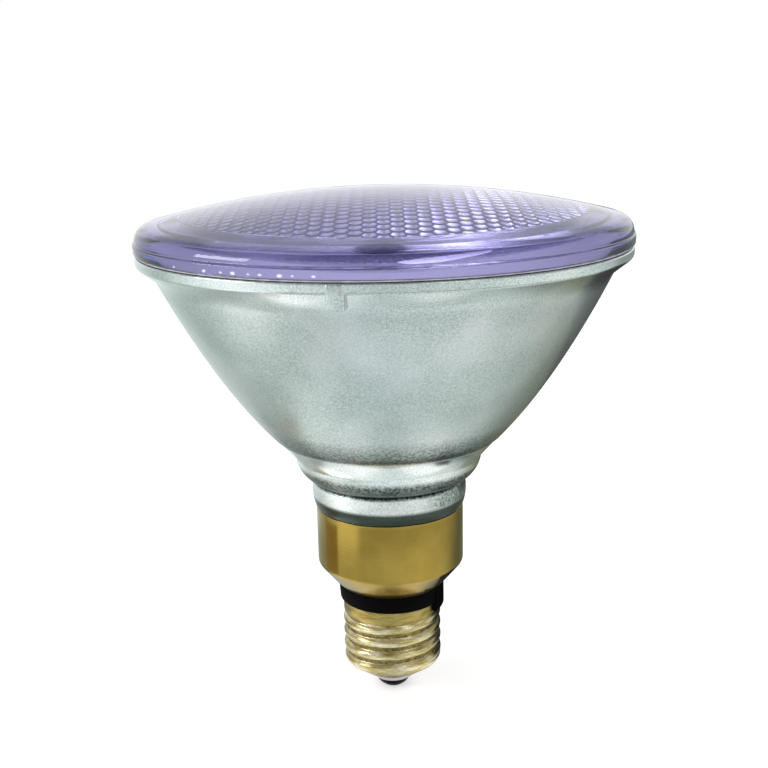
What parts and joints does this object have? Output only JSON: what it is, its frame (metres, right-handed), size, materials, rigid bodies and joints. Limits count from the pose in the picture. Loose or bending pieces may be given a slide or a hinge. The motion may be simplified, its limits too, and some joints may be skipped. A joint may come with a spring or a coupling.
{
  "type": "reflector lamp",
  "caption": "Halogen reflector lamp with a domed tinted lens, a silvered pressed glass bowl and a skirted brass screw base.",
  "frame": {"origin": "centre of the flat land on the base's centre contact", "axes": "+Z along the lamp's axis from the base to the lens; -Y towards the side that the picture shows"},
  "size_m": [0.123, 0.123, 0.1346],
  "materials": {
    "tinted_glass": "clear, violet tint",
    "seal": "cured resin",
    "silvered_glass": "pressed, aluminium film inside",
    "ceramic": "matt",
    "quartz": "clear",
    "tungsten": "drawn wire",
    "molybdenum": "drawn",
    "lead_wire": "plated wire",
    "solder": "dull",
    "cement": "set cement",
    "skirt_brass": "satin",
    "black_insulator": "moulded",
    "shell_brass": "rolled, pale",
    "pale_insulator": "smooth",
    "contact_metal": "tarnished"
  },
  "bodies": {
    "root": {"lens": "tinted_glass", "seal_ring": "seal", "reflector": "silvered_glass", "capsule_holder": "ceramic", "capsule_envelope": "quartz", "filament": "tungsten", "foil_left": "molybdenum", "foil_right": "molybdenum", "pin_left": "molybdenum", "pin_right": "molybdenum", "lead_contact": "lead_wire", "lead_shell": "lead_wire", "shell_solder": "solder", "basing_cement": "cement", "skirt": "skirt_brass", "insulator_ring": "black_insulator", "screw_shell": "shell_brass", "contact_insulator": "pale_insulator", "centre_contact": "contact_metal", "contact_solder": "solder"}
  },
  "joints": []
}
